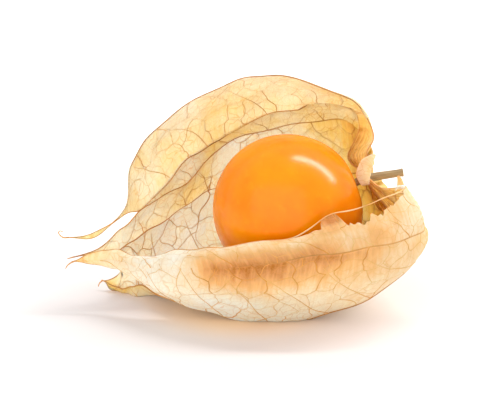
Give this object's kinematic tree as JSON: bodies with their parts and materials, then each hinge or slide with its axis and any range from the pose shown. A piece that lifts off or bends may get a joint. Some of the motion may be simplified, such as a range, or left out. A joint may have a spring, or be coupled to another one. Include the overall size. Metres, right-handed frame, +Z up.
{
  "type": "cape gooseberry in husk",
  "caption": "Orange berry lying on its side in a dry papery husk that is torn open at the front, with a short cut stalk.",
  "frame": {"origin": "middle of the bounding box, on the surface that the husk lies on", "axes": "+X along the fruit towards the stalk, -Y towards the open front of the husk, +Z up"},
  "size_m": [0.0453, 0.0278, 0.0286],
  "materials": {
    "berry_skin": "waxy gloss",
    "dry_husk": "matt, papery, translucent",
    "dry_stalk": "matt, fibrous"
  },
  "bodies": {
    "root": {"berry": "berry_skin", "husk": "dry_husk", "stem": "dry_stalk"}
  },
  "joints": []
}
